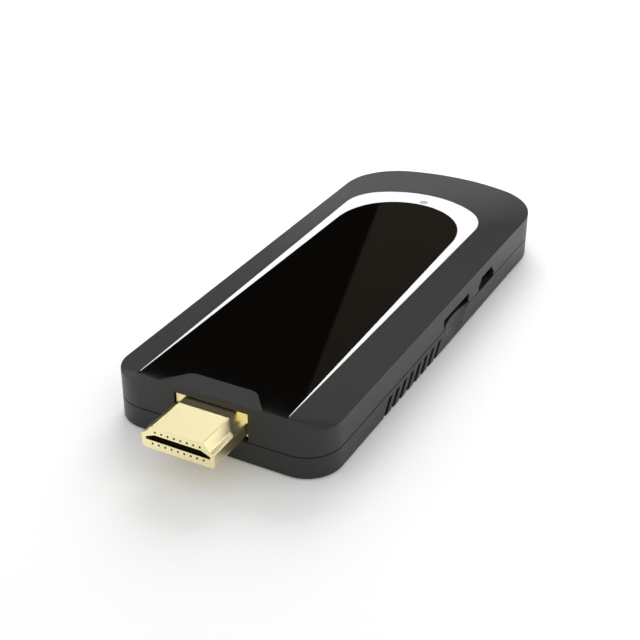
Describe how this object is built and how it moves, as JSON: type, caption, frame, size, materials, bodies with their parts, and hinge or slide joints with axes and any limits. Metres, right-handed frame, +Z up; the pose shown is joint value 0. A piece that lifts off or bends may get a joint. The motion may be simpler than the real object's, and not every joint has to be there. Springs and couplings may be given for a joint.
{
  "type": "hdmi streaming stick",
  "caption": "Slim plug-in media stick with a gold-plated HDMI plug, gloss face panel, vented sides, card slot and micro-USB power socket.",
  "frame": {"origin": "on the flat underside, under the middle of the whole length with the plug included", "axes": "+Z up out of the face panel, -Y along the HDMI plug, +X towards the side with the vents, card slot and power socket"},
  "size_m": [0.0426, 0.1162, 0.0114],
  "materials": {
    "case_abs": "fine moulded satin, charcoal ABS",
    "panel_acrylic": "polished black acrylic",
    "trim_white": "smooth white moulded plastic",
    "light_guide": "frosted clear acrylic",
    "led_package": "white moulded package with a phosphor window",
    "gold_plate": "gold plating on stamped brass",
    "insulator": "black glass-filled polymer",
    "contact_gold": "gold-flashed copper alloy",
    "board_laminate": "green solder mask on glass-epoxy laminate",
    "chip_epoxy": "black moulded epoxy",
    "pad_silicone": "soft blue-grey silicone",
    "sink_aluminium": "extruded, natural",
    "tinned_steel": "tin-plated sheet steel",
    "ferrite": "pressed ferrite",
    "ceramic": "fired ceramic",
    "slider_nylon": "natural nylon",
    "spring_steel": "drawn spring wire",
    "lead_jacket": "black extruded jacket",
    "antenna_film": "black coverlay film on copper",
    "screw_steel": "zinc-plated steel"
  },
  "bodies": {
    "stick": {"upper_shell": "case_abs", "lower_shell": "case_abs", "white_trim": "trim_white", "face_panel": "panel_acrylic", "light_guide": "light_guide", "hdmi_shell": "gold_plate", "hdmi_insulator": "insulator", "hdmi_contacts_upper": "contact_gold", "hdmi_contacts_lower": "contact_gold", "main_board": "board_laminate", "soc_chip": "chip_epoxy", "thermal_pad": "pad_silicone", "heat_sink": "sink_aluminium", "memory_chips": "chip_epoxy", "flash_chip": "chip_epoxy", "wifi_module": "tinned_steel", "clock_crystal": "tinned_steel", "power_inductors": "ferrite", "board_capacitors": "ceramic", "status_led": "led_package", "usb_shell": "tinned_steel", "usb_tongue": "insulator", "usb_contacts": "contact_gold", "card_socket_cover": "tinned_steel", "card_socket_base": "insulator", "card_contacts": "contact_gold", "eject_spring": "spring_steel", "antenna_strip": "antenna_film", "antenna_lead": "lead_jacket", "board_screws": "screw_steel"},
    "slider": {"card_slider": "slider_nylon"}
  },
  "joints": [
    {"name": "card_eject", "type": "slide", "parent": "stick", "child": "slider", "axis": [-1, 0, 0], "range_m": [0, 0.0012], "stiffness_N_per_m": 150, "springref_m": -0.001, "deforming": ["eject_spring"]}
  ]
}
